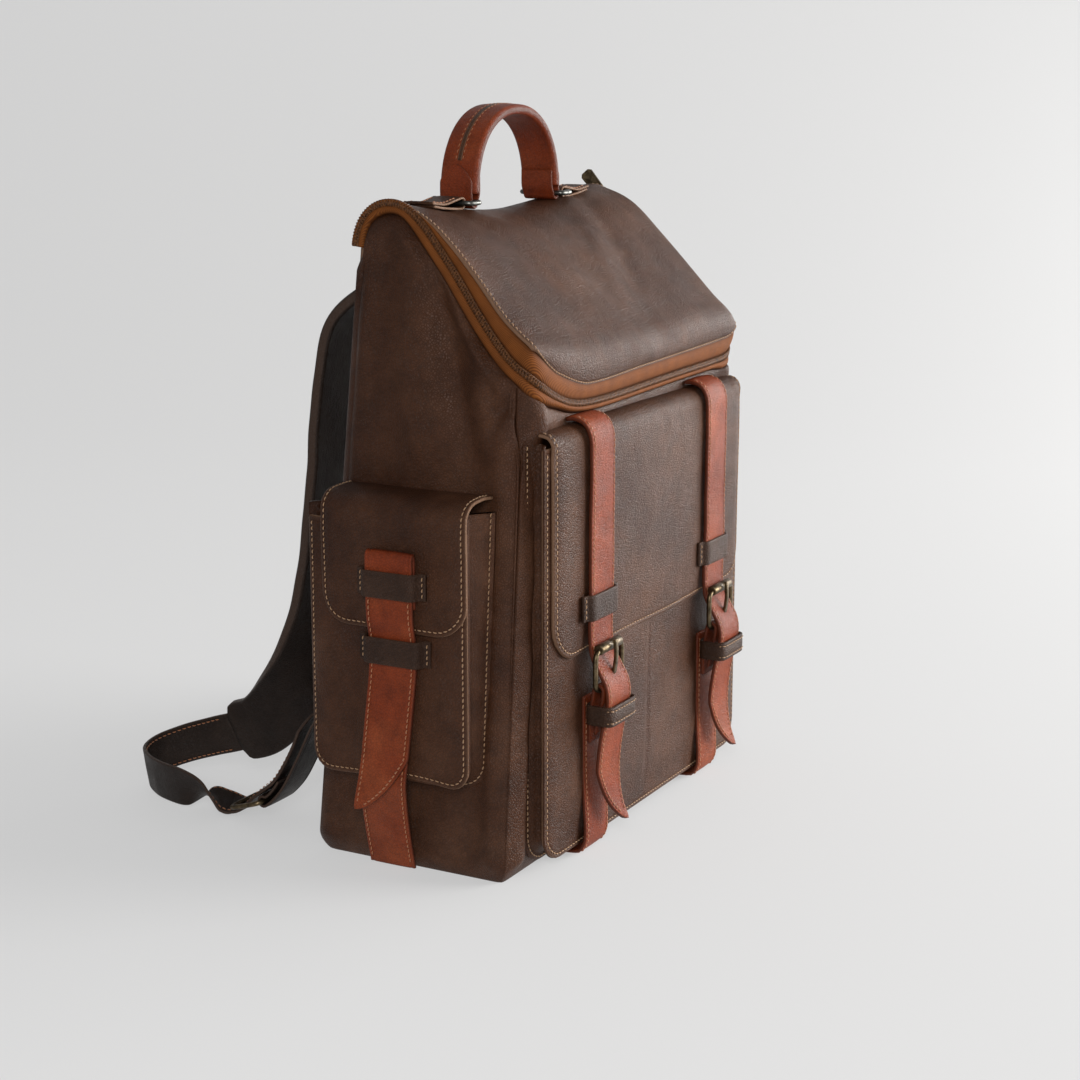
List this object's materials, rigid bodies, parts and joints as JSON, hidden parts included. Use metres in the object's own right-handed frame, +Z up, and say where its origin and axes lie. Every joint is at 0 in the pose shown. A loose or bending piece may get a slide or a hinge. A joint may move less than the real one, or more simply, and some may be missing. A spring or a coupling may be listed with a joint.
{
  "type": "backpack",
  "caption": "Leather rucksack with a zipped lid, a flapped front pocket closed by roller buckles, tuck-strap side pockets, a carry handle and padded shoulder straps.",
  "frame": {"origin": "centre of the flat base, on the floor the bag stands on", "axes": "+Z up, -Y out of the front pocket, +X to the right seen from the front"},
  "size_m": [0.4056, 0.3591, 0.477],
  "materials": {
    "brown_leather": "satin",
    "dark_leather": "satin",
    "tan_leather": "satin",
    "zip_tape": "matt",
    "zip_teeth": "satin",
    "aged_brass": "satin",
    "dark_steel": "satin"
  },
  "bodies": {
    "bag": {"front_panel": "brown_leather", "back_panel": "dark_leather", "side_panel_left": "brown_leather", "side_panel_right": "brown_leather", "base_panel": "dark_leather", "zip_tape_body": "zip_tape", "zip_chain_body": "zip_teeth", "front_pocket_gusset": "brown_leather", "front_pocket_panel": "brown_leather", "front_base_strap_left": "tan_leather", "front_base_strap_right": "tan_leather", "side_pocket_gusset_left": "brown_leather", "side_pocket_gusset_right": "brown_leather", "side_pocket_panel_left": "brown_leather", "side_pocket_panel_right": "brown_leather", "side_pocket_loop_left": "dark_leather", "side_pocket_loop_right": "dark_leather", "side_base_strap_left": "tan_leather", "side_base_strap_right": "tan_leather", "shoulder_pad_left": "dark_leather", "shoulder_pad_right": "dark_leather", "shoulder_strap_left": "dark_leather", "shoulder_strap_right": "dark_leather", "shoulder_buckle_left": "aged_brass", "shoulder_buckle_right": "aged_brass", "shoulder_anchor_left": "dark_leather", "shoulder_anchor_right": "dark_leather"},
    "lid": {"lid_panel": "brown_leather", "zip_tape_lid": "zip_tape", "zip_chain_lid": "zip_teeth", "handle_tab_left": "dark_leather", "handle_tab_right": "dark_leather", "handle_ring_left": "dark_steel", "handle_ring_right": "dark_steel"},
    "handle": {"handle_strap": "tan_leather", "handle_end_left": "tan_leather", "handle_end_right": "tan_leather"},
    "zip_slider": {"zip_slider": "aged_brass"},
    "zip_pull": {"zip_pull": "aged_brass"},
    "front_flap": {"front_flap": "brown_leather", "flap_loop_left": "dark_leather", "flap_loop_right": "dark_leather", "closure_strap_left": "tan_leather", "closure_strap_right": "tan_leather", "buckle_frame_left": "aged_brass", "buckle_frame_right": "aged_brass", "buckle_tab_left": "tan_leather", "buckle_tab_right": "tan_leather", "strap_keeper_left": "dark_leather", "strap_keeper_right": "dark_leather"},
    "roller_left": {"buckle_roller_left": "aged_brass"},
    "roller_right": {"buckle_roller_right": "aged_brass"},
    "prong_left": {"buckle_prong_left": "aged_brass"},
    "prong_right": {"buckle_prong_right": "aged_brass"},
    "side_flap_left": {"side_flap_left": "brown_leather", "side_flap_loop_left": "dark_leather", "tuck_strap_left": "tan_leather"},
    "side_flap_right": {"side_flap_right": "brown_leather", "side_flap_loop_right": "dark_leather", "tuck_strap_right": "tan_leather"}
  },
  "joints": [
    {"name": "lid_hinge", "type": "hinge", "parent": "bag", "child": "lid", "pos_m": [0, 0.0535, 0.3985], "axis": [-1, 0, 0], "range_deg": [0, 85]},
    {"name": "handle_tilt", "type": "hinge", "parent": "lid", "child": "handle", "pos_m": [0, 0.027, 0.4155], "axis": [1, 0, 0], "range_deg": [-13, 13], "deforming": ["handle_end_left", "handle_end_right"]},
    {"name": "slider_travel", "type": "slide", "parent": "bag", "child": "zip_slider", "axis": [0.0567, -0.6483, -0.7592], "range_m": [0, 0.09]},
    {"name": "pull_swing", "type": "hinge", "parent": "zip_slider", "child": "zip_pull", "pos_m": [0.14907, 0.02218, 0.40456], "axis": [0, 0.7606, -0.6493], "range_deg": [0, 150]},
    {"name": "front_flap_hinge", "type": "hinge", "parent": "bag", "child": "front_flap", "pos_m": [0, -0.0745, 0.2887], "axis": [-1, 0, 0], "range_deg": [0, 86]},
    {"name": "roller_spin_left", "type": "hinge", "parent": "front_flap", "child": "roller_left", "pos_m": [-0.088, -0.1004, 0.14], "axis": [1, 0, 0], "continuous": true},
    {"name": "prong_tilt_left", "type": "hinge", "parent": "front_flap", "child": "prong_left", "pos_m": [-0.088, -0.1004, 0.113], "axis": [1, 0, 0], "range_deg": [0, 12]},
    {"name": "roller_spin_right", "type": "hinge", "parent": "front_flap", "child": "roller_right", "pos_m": [0.088, -0.1004, 0.14], "axis": [1, 0, 0], "continuous": true},
    {"name": "prong_tilt_right", "type": "hinge", "parent": "front_flap", "child": "prong_right", "pos_m": [0.088, -0.1004, 0.113], "axis": [1, 0, 0], "range_deg": [0, 12]},
    {"name": "side_flap_hinge_left", "type": "hinge", "parent": "bag", "child": "side_flap_left", "pos_m": [-0.1592, 0.0035, 0.2475], "axis": [0, 1, 0], "range_deg": [0, 88], "deforming": ["tuck_strap_left"]},
    {"name": "side_flap_hinge_right", "type": "hinge", "parent": "bag", "child": "side_flap_right", "pos_m": [0.1592, 0.0035, 0.2475], "axis": [0, -1, 0], "range_deg": [0, 88], "deforming": ["tuck_strap_right"]}
  ]
}
